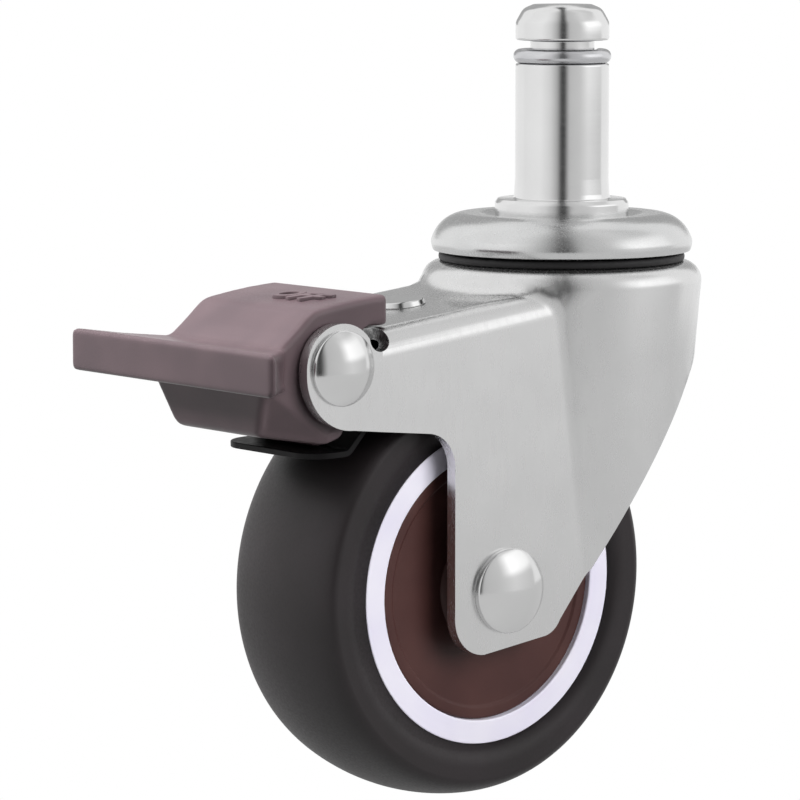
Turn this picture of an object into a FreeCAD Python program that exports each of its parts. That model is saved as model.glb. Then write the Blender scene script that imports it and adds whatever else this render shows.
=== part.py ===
import FreeCAD, Part
from FreeCAD import Vector
import math
import os

# Swivel castor with a grip-ring stem, a 50 mm wheel and a foot brake.
# Frame: the stem axis is Z, Z = 0 is the collar's top face, where the stem starts.
# The wheel trails towards -X, below the brake lever. The axle and lever pins lie along Y.

# Driving dimensions in millimetres
STEM_R = 5.5               # plain stem, 11 mm across
STEM_LENGTH = 22.7
STEM_TIP_R = 3.5           # flat on the stem's tip
STEM_TIP_ROUND = 2.0
NECK_R = 3.76              # groove that traps the grip ring
NECK_BOTTOM = 15.8
NECK_WIDTH = 2.7
GRIP_RING_R = 5.75         # outside of the ring, proud of the stem
GRIP_WIRE = 1.7
GRIP_GAP = 1.6
COLLAR_R = 7.88
COLLAR_TOP_R = 7.53
COLLAR_HEIGHT = 2.2
TAIL_R = 4.0               # riveted tail below the collar
PEEN_R = 5.4
PEEN_HEIGHT = 1.4

CAP_INSET = 1.0            # domed cap's widest place inside the skirt's top
CAP_SHEET = 1.1
CAP_CROWN_RISE = 0.5       # crown above the collar's seat
CAP_CROWN_OUT = 0.3        # crown's ridge outside the balls' pitch circle
CAP_WIDEST_DROP = 2.8      # widest place below the collar's seat
CAP_LIP_DROP = 3.9
CAP_LIP_TUCK = 0.35        # lip drawn in from the widest place

UPPER_BALL_R = 1.4
RACE_EDGE = 1.9            # balls' pitch circle to the raised race's edge
UPPER_BALLS = 8
LOWER_BALL_R = 1.25
LOWER_PITCH_R = 7.6
LOWER_BALLS = 6
RACE_GAP = 0.05            # running gap at each side of a ball
CUP_SHEET = 1.2
CUP_CLEAR = 2.6            # lower balls' pitch circle to the cup's rim
CUP_RIM = 1.3

FORK_SHEET = 1.4
WHEEL_SIDE_GAP = 1.6       # tread to each leg
FORK_BEND_R = 3.0          # outside of the bend along the arm
FORK_HOLE_R = 5.0
RACE_STEP_R = 11.9         # raised race on the fork's head
RACE_STEP = 1.6
HEAD_ROUND = 2.3
HEAD_SHELF = 4.6           # raised race's edge to the skirt's top
SKIRT_TAPER = 1 / 12       # skirt radius lost for each mm of drop
ARM_PLATE_DROP = 8.43      # arm plate's top on the stem axis
ARM_SLOPE = 0.110
SEAL_HEIGHT = 1.0
SEAL_FIT = 0.36            # raised race's foot to the seal
SEAL_WALL = 1.6
DRAPE_BLEND = 2.6          # blend between a flat leg and the round skirt

AXLE_X = -18.6             # trail
WHEEL_TOP_Z = -18.3        # top of the tread, below the head and the stem's tail
AXLE_R = 2.9
AXLE_HEAD_R = 4.88
AXLE_HEAD_RIM = 0.7
AXLE_HEAD_DOME = 1.5

PIVOT_X = -42.6
PIVOT_Z = -16.2
PIVOT_R = 2.0
PIVOT_HEAD_R = 4.2
PIVOT_HEAD_RIM = 0.45
PIVOT_HEAD_DOME = 1.45
EAR_R = 4.9
EAR_HEEL_R = 6.5
NOTCH_R = 1.6
NOTCH_X = -37.1
NOTCH_Z = -13.15
ARM_END_X = -36.9          # front edge of the arm plate

LEG_FRONT_X = -26.4
ARM_FLOOR_Z = -24.4        # underside of the arm at the leg

WHEEL_WIDTH = 18.0
SHOULDER_R = 24.35
TREAD_CROWN = 0.65         # rise of the tread's middle over its shoulders
SHOULDER_INSET = 3.4       # start of the tread's rounded edge, from its side
RING_R = 18.14             # outside of the bare rim ring
RING_INNER_R = 15.41
RING_INSET = 0.15          # rim ring behind the tread's side
ANCHOR_R = 16.9            # groove that keys the tread to the core
ANCHOR_HALF = 3.0
WEB_HALF = 1.6
COVER_THICK = 1.3
COVER_INSET = 0.6          # hub cover's face behind the tread's side
COVER_HOLE_R = 5.3
FIT_GAP = 0.05
BEARING_R = 8.0
BEARING_WIDTH = 4.5
BEARING_RING = 1.5
BEARING_BALL_R = 0.95
BEARING_BALLS = 6
HUB_WALL = 1.8
SPACER_R = 4.5

LEVER_SIDE_GAP = 0.25      # pedal to each ear
PADDLE_HALF = 18.6
PADDLE_FRONT_X = -57.35
PADDLE_TOP_Z = -13.15
PADDLE_THICK = 4.7
HOOD_REAR_X = -35.1
HOOD_REAR_TOP_Z = -8.7
HOOD_REAR_FLOOR_Z = -12.0
LEVER_FRONT_X = -50.4
LEVER_FLOOR_FRONT_Z = -23.2
LEVER_FLOOR_REAR_Z = -24.8
BLOCK_DRAW_IN = 3.6        # taper of the block's lower front corners
NOSE_LEVER_ARM = 9.74      # from the pivot to the tip of the cam nose
NOSE_R = 1.2
NOSE_HALF = 4.8

LEAF_THICK = 0.7
LEAF_HALF = 8.8
LEAF_TREAD_GAP = 1.3       # leaf to tread at rest
LEAF_ANGLE = 47.0
LEAF_TOE_ANGLE = 1.5
LEAF_REAR_X = -21.5
LEAF_TOE_X = -44.05
LEAF_TOE_CORNER = 3.5
LEAF_BEND_R = 0.8          # inside of each bend
LEAF_BEND_BELOW = 1.5      # lower bend, past the place nearest the axle
LEAF_RIVET_X = -24.8
LEAF_RIVET_R = 1.5
LEAF_RIVET_HEAD_R = 3.2
LEAF_RIVET_TAIL_R = 2.1     # closed end below the leaf
LEAF_RIVET_HEAD = 0.7
LEAF_HOLE_GAP = 0.3        # lets the leaf rock about its rear edge
CAM_GAP = 0.35
PIN_GAP = 0.08
BEYOND = 20.0              # cutting shapes and blanks reach this far past the sheet

# Levels and radii that follow from the driving dimensions
UPPER_PITCH_R = RACE_STEP_R - RACE_EDGE
SKIRT_TOP_R = RACE_STEP_R + HEAD_SHELF
RACE_FOOT_R = RACE_STEP_R + RACE_STEP * 0.4
SEAL_R = RACE_FOOT_R + SEAL_FIT + SEAL_WALL
CAP_R = SKIRT_TOP_R - CAP_INSET
CAP_LIP_R = CAP_R - CAP_LIP_TUCK
CAP_CROWN_R = UPPER_PITCH_R + CAP_CROWN_OUT
CUP_R = LOWER_PITCH_R + CUP_CLEAR
WHEEL_R = SHOULDER_R + TREAD_CROWN
SHOULDER_Y = WHEEL_WIDTH / 2 - SHOULDER_INSET
RING_HALF = WHEEL_WIDTH / 2 - RING_INSET
COVER_HALF = WHEEL_WIDTH / 2 - COVER_INSET
BEARING_OUT = COVER_HALF - COVER_THICK  # the cover holds the bearing in its seat
FORK_HALF_WIDTH = WHEEL_WIDTH / 2 + WHEEL_SIDE_GAP + FORK_SHEET  # outer faces of the two legs
AXLE_Z = WHEEL_TOP_Z - WHEEL_R
LEAF_TREAD_DISTANCE = WHEEL_R + LEAF_TREAD_GAP + LEAF_THICK / 2  # leaf's middle surface from the axle
SEAT_Z = -COLLAR_HEIGHT
CROWN_Z = SEAT_Z + CAP_CROWN_RISE
UPPER_BALL_Z = CROWN_Z - CAP_SHEET - RACE_GAP - UPPER_BALL_R
RACE_Z = UPPER_BALL_Z - UPPER_BALL_R - RACE_GAP
SHELF_Z = RACE_Z - RACE_STEP
LOWER_BALL_Z = RACE_Z - FORK_SHEET - RACE_GAP - LOWER_BALL_R
CUP_Z = LOWER_BALL_Z - LOWER_BALL_R - RACE_GAP
PEEN_Z = CUP_Z - CUP_SHEET
FORK_INNER = FORK_HALF_WIDTH - FORK_SHEET
LEVER_HALF = FORK_INNER - LEVER_SIDE_GAP


def save(name, shape):
    shape.exportStep("parts/" + name + ".step")


def closed_face(start, *steps):
    """Face in the XZ plane. A step is an end point, or a pair: a point on an arc and its end."""
    edges = []
    here = Vector(start[0], 0, start[1])
    for step in list(steps) + [start]:
        if isinstance(step[0], tuple):
            via = Vector(step[0][0], 0, step[0][1])
            end = Vector(step[1][0], 0, step[1][1])
            edges.append(Part.Arc(here, via, end).toShape())
        else:
            end = Vector(step[0], 0, step[1])
            if end.distanceToPoint(here) > 1e-6:
                edges.append(Part.LineSegment(here, end).toShape())
        here = end
    return Part.Face(Part.Wire(edges))


def turned(start, *steps):
    """Solid turned about Z from a profile of (radius, height)."""
    return closed_face(start, *steps).revolve(Vector(0, 0, 0), Vector(0, 0, 1), 360)


def across(shape, x, z):
    """A shape turned about Z, laid along Y through (x, z)."""
    laid = shape.copy()
    laid.rotate(Vector(0, 0, 0), Vector(1, 0, 0), -90)
    laid.translate(Vector(x, 0, z))
    return laid


def plate(face, y_from, y_to):
    """An XZ face extruded along Y."""
    slab = face.extrude(Vector(0, y_to - y_from, 0))
    slab.translate(Vector(0, y_from, 0))
    return slab


def pin_y(x, z, radius, y_from, y_to):
    return Part.makeCylinder(radius, y_to - y_from, Vector(x, y_from, z), Vector(0, 1, 0))


def ring_of_balls(count, radius, pitch, z, start_angle=0.0):
    balls = []
    for i in range(count):
        a = start_angle + 2 * math.pi * i / count
        balls.append(Part.makeSphere(radius, Vector(pitch * math.cos(a), pitch * math.sin(a), z)))
    return Part.makeCompound(balls)


def on_circle(x, z, radius, degrees):
    a = math.radians(degrees)
    return (x + radius * math.cos(a), z + radius * math.sin(a))


# Stem, grip ring, cap and lower cup: they stay with the chair

def grip_ring_stem():
    neck_top = NECK_BOTTOM + NECK_WIDTH
    diagonal = STEM_TIP_ROUND * math.sqrt(0.5)
    shoulder = STEM_LENGTH - STEM_TIP_ROUND
    tail_end = PEEN_Z - PEEN_HEIGHT
    return turned(
        (0, tail_end), (PEEN_R * 0.55, tail_end),
        ((PEEN_R * 0.9, PEEN_Z - PEEN_HEIGHT * 0.6), (PEEN_R, PEEN_Z)),
        (TAIL_R, PEEN_Z), (TAIL_R, SEAT_Z), (COLLAR_R, SEAT_Z),
        (COLLAR_R, -(COLLAR_R - COLLAR_TOP_R) * 1.5), (COLLAR_TOP_R, 0), (STEM_R, 0),
        (STEM_R, NECK_BOTTOM), (NECK_R, NECK_BOTTOM), (NECK_R, neck_top), (STEM_R, neck_top),
        (STEM_R, shoulder),
        ((STEM_R - STEM_TIP_ROUND + diagonal, shoulder + diagonal), (STEM_TIP_R, STEM_LENGTH)),
        (0, STEM_LENGTH))


def grip_ring():
    wire_r = GRIP_WIRE / 2
    ring = Part.makeTorus(GRIP_RING_R - wire_r, wire_r)
    ring.translate(Vector(0, 0, NECK_BOTTOM + wire_r))
    reach = GRIP_RING_R + 1
    gap = Part.makeBox(reach, GRIP_GAP, 2 * GRIP_WIRE,
                       Vector(0, -GRIP_GAP / 2, NECK_BOTTOM - wire_r))
    return ring.cut(gap)


def race_cap():
    """Pressed cap: the crown's underside is the upper race, the lip shields it."""
    widest = SEAT_Z - CAP_WIDEST_DROP
    lip = SEAT_Z - CAP_LIP_DROP
    crown = CAP_CROWN_R
    outer_fall = CAP_R - crown - 0.8
    return turned(
        (TAIL_R + FIT_GAP, SEAT_Z - CAP_SHEET), (TAIL_R + FIT_GAP, SEAT_Z), (COLLAR_R + 0.2, SEAT_Z),
        ((crown - 0.95, CROWN_Z - 0.12), (crown, CROWN_Z)), (crown + 0.8, CROWN_Z),
        ((crown + 0.8 + outer_fall * 0.705, widest + (CROWN_Z - widest) * 0.68), (CAP_R, widest)),
        (CAP_LIP_R, lip), (CAP_LIP_R - CAP_SHEET, lip), (CAP_R - CAP_SHEET, widest),
        ((crown + 0.8 + outer_fall * 0.545, widest + (CROWN_Z - widest) * 0.424),
         (crown + 0.8, CROWN_Z - CAP_SHEET)),
        (crown - 0.9, CROWN_Z - CAP_SHEET), (COLLAR_R - 0.4, SEAT_Z - CAP_SHEET))


def lower_race_cup():
    """Shallow pressed cup that holds the lower balls against the fork."""
    flat = CUP_R - CUP_SHEET - 0.6
    return turned(
        (TAIL_R + FIT_GAP, PEEN_Z), (TAIL_R + FIT_GAP, CUP_Z), (flat, CUP_Z),
        (CUP_R - CUP_SHEET, CUP_Z + CUP_RIM), (CUP_R, CUP_Z + CUP_RIM), (flat + 0.9, PEEN_Z))


def dust_seal():
    bottom = SHELF_Z
    top = bottom + SEAL_HEIGHT
    inner = SEAL_R - SEAL_WALL
    round_off = SEAL_HEIGHT / 2
    return turned((inner, bottom), (SEAL_R - round_off, bottom),
                  ((SEAL_R, bottom + round_off), (SEAL_R - round_off, top)), (inner, top))


# Fork: one pressed sheet with a round head, a sloping arm, two legs and two ears

def arm_top(x):
    return ARM_SLOPE * x - ARM_PLATE_DROP


def head_drum(inset):
    """Round head and tapered skirt, taken in by the sheet's thickness for the inner form."""
    floor = AXLE_Z - 12
    skirt_z = SHELF_Z - HEAD_ROUND
    skirt_low = SKIRT_TOP_R - SKIRT_TAPER * (skirt_z - floor)
    rise = HEAD_ROUND * math.sqrt(0.5)
    shelf = SKIRT_TOP_R - HEAD_ROUND
    return turned(
        (0, floor), (skirt_low - inset, floor), (SKIRT_TOP_R - inset, skirt_z - inset * 0.3),
        ((shelf + rise - inset * 0.75, skirt_z + rise - inset * 0.75), (shelf - inset * 0.3, SHELF_Z - inset)),
        (RACE_FOOT_R - inset * 0.3, SHELF_Z - inset),
        (RACE_STEP_R - inset * 0.7, RACE_Z - inset), (0, RACE_Z - inset))


def arm_box(inset):
    """Long box of the arm and legs, its top sloping and its two long top edges bent round."""
    front = ARM_END_X - BEYOND
    floor = AXLE_Z - 12
    drop = inset * math.sqrt(1 + ARM_SLOPE ** 2)
    side = closed_face((front, floor), (0, floor), (0, arm_top(0) - drop), (front, arm_top(front) - drop))
    half = FORK_HALF_WIDTH - inset
    box = plate(side, -half, half)
    bends = [e for e in box.Edges
             if abs(e.CenterOfMass.y) > half - 0.01 and e.CenterOfMass.z > arm_top(front) - 1
             and abs(e.CenterOfMass.x - front / 2) < 1]
    return box.makeFillet(FORK_BEND_R - inset, bends)


def sheet_body(inset):
    body = head_drum(inset).fuse(arm_box(inset)).removeSplitter()
    half = FORK_HALF_WIDTH - inset
    creases = []
    for e in body.Edges:
        c = e.CenterOfMass
        box = e.BoundBox
        upright = box.ZLength > 20 and box.XLength < 14
        if upright and abs(abs(c.y) - half) < 0.05 and -14 < c.x < -1:
            creases.append(e)
    blend = DRAPE_BLEND + inset
    return body.makeFillet(blend, creases) if creases else body


def leg_and_arm_side():
    """Side view of the head, arm and legs, from the arm plate's front edge to the rear skirt."""
    under_front = ARM_FLOOR_Z + 0.11 * (LEG_FRONT_X - 3.9 - ARM_END_X)
    top = 0
    rear = SKIRT_TOP_R + 1
    leg_floor = AXLE_Z - 7.05
    return closed_face(
        (ARM_END_X, under_front), (LEG_FRONT_X - 3.9, ARM_FLOOR_Z),
        ((LEG_FRONT_X - 1.2, ARM_FLOOR_Z - 1.25), (LEG_FRONT_X, ARM_FLOOR_Z - 3.9)),
        (LEG_FRONT_X, AXLE_Z - 2.4),
        ((LEG_FRONT_X + 1.15, AXLE_Z - 5.6), (LEG_FRONT_X + 4.3, leg_floor)),
        (AXLE_X + 5.3, AXLE_Z - 5.95),
        ((AXLE_X + 6.8, AXLE_Z - 5.5), (AXLE_X + 8.0, AXLE_Z - 4.2)),
        (AXLE_X + 12.5, AXLE_Z + 1.3), ((AXLE_X + 18.5, AXLE_Z + 11.3), (AXLE_X + 25.9, AXLE_Z + 21.6)),
        ((AXLE_X + 29.6, AXLE_Z + 25.0), (rear, AXLE_Z + 28.1)),
        (rear, top), (ARM_END_X, top))


def ear_side():
    """Side view of an ear: round about the lever's pin, fuller at its heel."""
    under_front = ARM_FLOOR_Z + 0.11 * (LEG_FRONT_X - 3.9 - ARM_END_X)
    heel_x = PIVOT_X - EAR_R + EAR_HEEL_R
    heel_z = PIVOT_Z - 0.5
    notch_side = on_circle(PIVOT_X, PIVOT_Z, EAR_R, 35)
    return closed_face(
        (ARM_END_X, under_front), (ARM_END_X, NOTCH_Z - NOTCH_R), (NOTCH_X, NOTCH_Z - NOTCH_R),
        notch_side, (on_circle(PIVOT_X, PIVOT_Z, EAR_R, 90), on_circle(PIVOT_X, PIVOT_Z, EAR_R, 178)),
        (heel_x - EAR_HEEL_R, heel_z),
        (on_circle(heel_x, heel_z, EAR_HEEL_R, 225), (heel_x, heel_z - EAR_HEEL_R)))


def square_to_arm(shape):
    """A shape turned about Z, set square on the arm plate's top where the leaf is riveted."""
    shape.rotate(Vector(0, 0, 0), Vector(0, 1, 0), -math.degrees(math.atan(ARM_SLOPE)))
    shape.translate(Vector(LEAF_RIVET_X, 0, arm_top(LEAF_RIVET_X)))
    return shape


def fork():
    sheet = sheet_body(0).cut(sheet_body(FORK_SHEET))
    body = sheet.common(plate(leg_and_arm_side(), -BEYOND, BEYOND))
    for side in (-1, 1):
        faces = sorted((side * FORK_INNER, side * FORK_HALF_WIDTH))
        body = body.fuse(plate(ear_side(), faces[0], faces[1]))
    body = body.removeSplitter()
    notch_inner = FORK_HALF_WIDTH - FORK_BEND_R - 0.5
    body = body.cut(pin_y(NOTCH_X, NOTCH_Z, NOTCH_R, notch_inner, BEYOND))
    body = body.cut(pin_y(NOTCH_X, NOTCH_Z, NOTCH_R, -BEYOND, -notch_inner))
    body = body.cut(pin_y(AXLE_X, AXLE_Z, AXLE_R + FIT_GAP, -BEYOND, BEYOND))
    body = body.cut(pin_y(PIVOT_X, PIVOT_Z, PIVOT_R + FIT_GAP, -BEYOND, BEYOND))
    body = body.cut(Part.makeCylinder(FORK_HOLE_R, BEYOND, Vector(0, 0, SHELF_Z - BEYOND / 2)))
    return body.cut(square_to_arm(Part.makeCylinder(LEAF_RIVET_R + FIT_GAP, 10, Vector(0, 0, -5))))


# Axle, lever pin and leaf rivet

def headed_pin(radius, head_r, rim, dome):
    """Rivet along Z with a low dome on a short rim at both ends, flush on the legs."""
    half = FORK_HALF_WIDTH
    tip = half + rim + dome
    sphere = (head_r ** 2 + dome ** 2) / (2 * dome)
    bulge = tip - sphere + math.sqrt(sphere ** 2 - head_r ** 2 / 4)
    return turned(
        (0, -tip), ((head_r * 0.5, -bulge), (head_r, -half - rim)), (head_r, -half), (radius, -half),
        (radius, half), (head_r, half), (head_r, half + rim), ((head_r * 0.5, bulge), (0, tip)))


def leaf_rivet():
    """Flat-headed rivet through the arm plate and the brake leaf."""
    grip = FORK_SHEET + LEAF_THICK + CAM_GAP
    return square_to_arm(turned(
        (0, -grip - LEAF_RIVET_HEAD), (LEAF_RIVET_TAIL_R - 0.3, -grip - LEAF_RIVET_HEAD),
        (LEAF_RIVET_TAIL_R, -grip), (LEAF_RIVET_R, -grip), (LEAF_RIVET_R, 0), (LEAF_RIVET_HEAD_R, 0),
        (LEAF_RIVET_HEAD_R - 0.3, LEAF_RIVET_HEAD), (0, LEAF_RIVET_HEAD)))


# Wheel: tread, core, two hub covers and two small bearings

def tyre():
    half = WHEEL_WIDTH / 2
    wall_r = 22.2
    return across(turned(
        (RING_R, -RING_HALF + 0.1), (wall_r, -half),
        ((SHOULDER_R - 0.65, -half + 1.05), (SHOULDER_R, -SHOULDER_Y)),
        ((WHEEL_R, 0), (SHOULDER_R, SHOULDER_Y)),
        ((SHOULDER_R - 0.65, half - 1.05), (wall_r, half)),
        (RING_R, RING_HALF - 0.1), (RING_R, ANCHOR_HALF), (ANCHOR_R, ANCHOR_HALF),
        (ANCHOR_R, -ANCHOR_HALF), (RING_R, -ANCHOR_HALF)), AXLE_X, AXLE_Z)


def wheel_core():
    """Moulded core: bare rim rings, a thin web and a hub with two bearing seats."""
    cover_seat = COVER_HALF - COVER_THICK
    hub_r = BEARING_R + HUB_WALL
    rim_in = RING_INNER_R - 1.0
    web_in = BEARING_R - 1.2
    seat = BEARING_OUT - BEARING_WIDTH
    return across(turned(
        (RING_INNER_R, -RING_HALF), (RING_R, -RING_HALF), (RING_R, -ANCHOR_HALF), (ANCHOR_R, -ANCHOR_HALF),
        (ANCHOR_R, ANCHOR_HALF), (RING_R, ANCHOR_HALF), (RING_R, RING_HALF), (RING_INNER_R, RING_HALF),
        (RING_INNER_R, cover_seat), (rim_in, cover_seat), (rim_in, WEB_HALF), (hub_r, WEB_HALF),
        (hub_r, cover_seat), (BEARING_R, cover_seat), (BEARING_R, seat), (web_in, seat),
        (web_in, -seat), (BEARING_R, -seat), (BEARING_R, -cover_seat), (hub_r, -cover_seat),
        (hub_r, -WEB_HALF), (rim_in, -WEB_HALF), (rim_in, -cover_seat), (RING_INNER_R, -cover_seat)),
        AXLE_X, AXLE_Z)


def hub_cover(side):
    """Snap-in cover: a flat disc with a rolled outer edge and a raised boss round its hole."""
    inner = COVER_HALF - COVER_THICK
    edge = RING_INNER_R - FIT_GAP
    boss_r = COVER_HOLE_R + 0.9
    disc = turned(
        (COVER_HOLE_R, inner), (edge, inner), (edge, COVER_HALF - 0.5),
        ((edge - 0.15, COVER_HALF - 0.15), (edge - 0.5, COVER_HALF)),
        (boss_r + 0.3, COVER_HALF), (boss_r, COVER_HALF + 0.3), (COVER_HOLE_R, COVER_HALF + 0.3))
    if side < 0:
        disc = disc.mirror(Vector(0, 0, 0), Vector(0, 0, 1))
    return across(disc, AXLE_X, AXLE_Z)


def bearing_ring(side, inner_r, outer_r):
    low = BEARING_OUT - BEARING_WIDTH
    ring = turned((inner_r, low), (outer_r, low), (outer_r, BEARING_OUT), (inner_r, BEARING_OUT))
    if side < 0:
        ring = ring.mirror(Vector(0, 0, 0), Vector(0, 0, 1))
    return across(ring, AXLE_X, AXLE_Z)


def bearing_balls(side):
    middle = side * (BEARING_OUT - BEARING_WIDTH / 2)
    bore = AXLE_R + FIT_GAP + BEARING_RING
    pitch = (bore + BEARING_R - BEARING_RING) / 2
    return across(ring_of_balls(BEARING_BALLS, BEARING_BALL_R, pitch, middle), AXLE_X, AXLE_Z)


def axle_tube(y_from, y_to, radius):
    bore = AXLE_R + FIT_GAP
    return across(turned((bore, y_from), (radius, y_from), (radius, y_to), (bore, y_to)), AXLE_X, AXLE_Z)


# Brake leaf: flat under the arm plate, sloping along the tread, with a toe

def leaf_direction():
    a = math.radians(LEAF_ANGLE)
    return math.cos(a), math.sin(a)


def leaf_points():
    """Bend points of the leaf's middle surface, from its riveted end to its toe."""
    cx, cz = leaf_direction()
    near_x = AXLE_X - cz * LEAF_TREAD_DISTANCE
    near_z = AXLE_Z + cx * LEAF_TREAD_DISTANCE
    drop = (FORK_SHEET + LEAF_THICK / 2) * math.sqrt(1 + ARM_SLOPE ** 2)
    run = (arm_top(near_x) - drop - near_z) / (cz - ARM_SLOPE * cx)
    upper = (near_x + run * cx, near_z + run * cz)
    lower = (near_x - LEAF_BEND_BELOW * cx, near_z - LEAF_BEND_BELOW * cz)
    toe = (LEAF_TOE_X, lower[1] - (lower[0] - LEAF_TOE_X) * math.tan(math.radians(LEAF_TOE_ANGLE)))
    rear = (LEAF_REAR_X, arm_top(LEAF_REAR_X) - drop)
    return [rear, upper, lower, toe]


def strip_face(points, thickness):
    """Face of a bent strip of even thickness about a line of points, mitred at its bends."""
    sides = []
    for sign in (1, -1):
        row = []
        for i, (x, z) in enumerate(points):
            before = points[max(i - 1, 0)]
            after = points[min(i + 1, len(points) - 1)]
            into = math.atan2(z - before[1], x - before[0]) if i else math.atan2(after[1] - z, after[0] - x)
            out = math.atan2(after[1] - z, after[0] - x) if i < len(points) - 1 else into
            middle = (into + out) / 2
            reach = sign * thickness / 2 / math.cos((out - into) / 2)
            row.append((x - reach * math.sin(middle), z + reach * math.cos(middle)))
        sides.append(row)
    ring = sides[0] + sides[1][::-1]
    return closed_face(ring[0], *ring[1:])


def brake_leaf():
    rear, upper, lower, toe = leaf_points()
    strip = plate(strip_face([toe, lower, upper, rear], LEAF_THICK), -LEAF_HALF, LEAF_HALF)
    for (x, z), top_is_outside in ((upper, True), (lower, False)):
        for above in (True, False):
            radius = LEAF_BEND_R + (LEAF_THICK if above == top_is_outside else 0)
            fold = [e for e in strip.Edges
                    if e.BoundBox.YLength > LEAF_HALF and (e.CenterOfMass.z > z) == above
                    and math.hypot(e.CenterOfMass.x - x, e.CenterOfMass.z - z) < LEAF_THICK * 0.75]
            strip = strip.makeFillet(radius, fold)
    corners = [e for e in strip.Edges
               if e.Length < LEAF_THICK * 1.1 and abs(e.CenterOfMass.x - toe[0]) < LEAF_THICK]
    strip = strip.makeFillet(LEAF_TOE_CORNER, corners)
    return strip.cut(square_to_arm(Part.makeCylinder(LEAF_RIVET_R + LEAF_HOLE_GAP, 10, Vector(0, 0, -5))))


# Brake lever: a moulded pedal with a hood, a wide paddle and a cam nose

def nose_centre():
    """Centre of the cam nose's round tip, at the rest gap from the leaf."""
    cx, cz = leaf_direction()
    across_leaf = ((PIVOT_X - AXLE_X) * -cz + (PIVOT_Z - AXLE_Z) * cx
                   - LEAF_TREAD_DISTANCE - LEAF_THICK / 2 - CAM_GAP)
    along = math.sqrt(NOSE_LEVER_ARM ** 2 - across_leaf ** 2)
    reach = across_leaf - NOSE_R
    return (PIVOT_X + reach * cz - along * cx, PIVOT_Z - reach * cx - along * cz)


def on_block(back, down):
    """Point of the pedal's side view, as parts of its length and height from the hood's rear top."""
    return (HOOD_REAR_X - back * (HOOD_REAR_X - LEVER_FRONT_X),
            HOOD_REAR_TOP_Z - down * (HOOD_REAR_TOP_Z - LEVER_FLOOR_REAR_Z))


def lever_middle():
    """Side view of the pedal's body between the ears, hood and lower block in one."""
    at = on_block
    return closed_face(
        (HOOD_REAR_X, HOOD_REAR_FLOOR_Z), (HOOD_REAR_X, HOOD_REAR_TOP_Z),
        (at(0.386, 0.031), at(0.686, 0.084)), (at(0.778, 0.140), at(0.856, 0.224)),
        (at(0.948, 0.301), at(1.072, 0.320)), at(1.072, 0.453),
        at(1.0, 0.602), at(1.0, 0.851), (at(0.980, 0.888), at(0.935, 0.907)),
        at(0.556, 1.0), (at(0.451, 0.997), at(0.386, 0.938)), at(0.248, 0.702),
        at(0.248, 0.366), (at(0.203, 0)[0], HOOD_REAR_FLOOR_Z))


def paddle():
    """Fan-shaped paddle: wide at its front edge, drawn in to the body behind it."""
    half = PADDLE_HALF
    body = LEVER_HALF
    front = PADDLE_FRONT_X
    under = PADDLE_TOP_Z - PADDLE_THICK
    root_x = LEVER_FRONT_X + 1.2
    depth = under - BEYOND
    plan = Part.makePolygon([
        Vector(front, -half, depth), Vector(front + 0.9, -half, depth), Vector(root_x, -body, depth),
        Vector(root_x, body, depth), Vector(front + 0.9, half, depth), Vector(front, half, depth),
        Vector(front, -half, depth)])
    column = Part.Face(plan).extrude(Vector(0, 0, 2 * BEYOND))
    side = closed_face(
        (front, under + 0.25), (front, PADDLE_TOP_Z - 0.25),
        ((front + 0.08, PADDLE_TOP_Z - 0.08), (front + 0.3, PADDLE_TOP_Z)),
        ((front + 3.75, PADDLE_TOP_Z - 0.47), (root_x, PADDLE_TOP_Z - 0.75)), (root_x, under - 0.55),
        ((front + 3.75, under - 0.2), (front + 0.3, under)))
    return plate(side, -half, half).common(column)


def brake_lever():
    half = LEVER_HALF
    body = plate(lever_middle(), -half, half)
    nose_x, nose_z = nose_centre()
    # the lower front of the block is drawn in at both sides
    wedge_x = LEVER_FRONT_X - BLOCK_DRAW_IN / 2
    wedge_top = PADDLE_TOP_Z - PADDLE_THICK
    wedge_floor = LEVER_FLOOR_FRONT_Z - BLOCK_DRAW_IN / 3
    for side in (-1, 1):
        outside = side * (half + BLOCK_DRAW_IN / 3)
        corner = Part.makePolygon([
            Vector(wedge_x, outside, wedge_top), Vector(wedge_x, side * half, wedge_top),
            Vector(wedge_x, side * (half - BLOCK_DRAW_IN), wedge_floor),
            Vector(wedge_x, outside, wedge_floor), Vector(wedge_x, outside, wedge_top)])
        wedge = Part.Face(corner).extrude(Vector(BLOCK_DRAW_IN * 1.8, side * BLOCK_DRAW_IN * 0.9, 0))
        body = body.cut(wedge)
    body = body.fuse(paddle())
    web = closed_face(
        (nose_x - NOSE_R, nose_z), (on_circle(nose_x, nose_z, NOSE_R, 250), (nose_x + NOSE_R, nose_z)),
        on_block(0.288, 0.764), on_block(0.516, 0.764))
    body = body.fuse(plate(web, -NOSE_HALF, NOSE_HALF)).removeSplitter()
    return body.cut(pin_y(PIVOT_X, PIVOT_Z, PIVOT_R + PIN_GAP, -20, 20))


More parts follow.
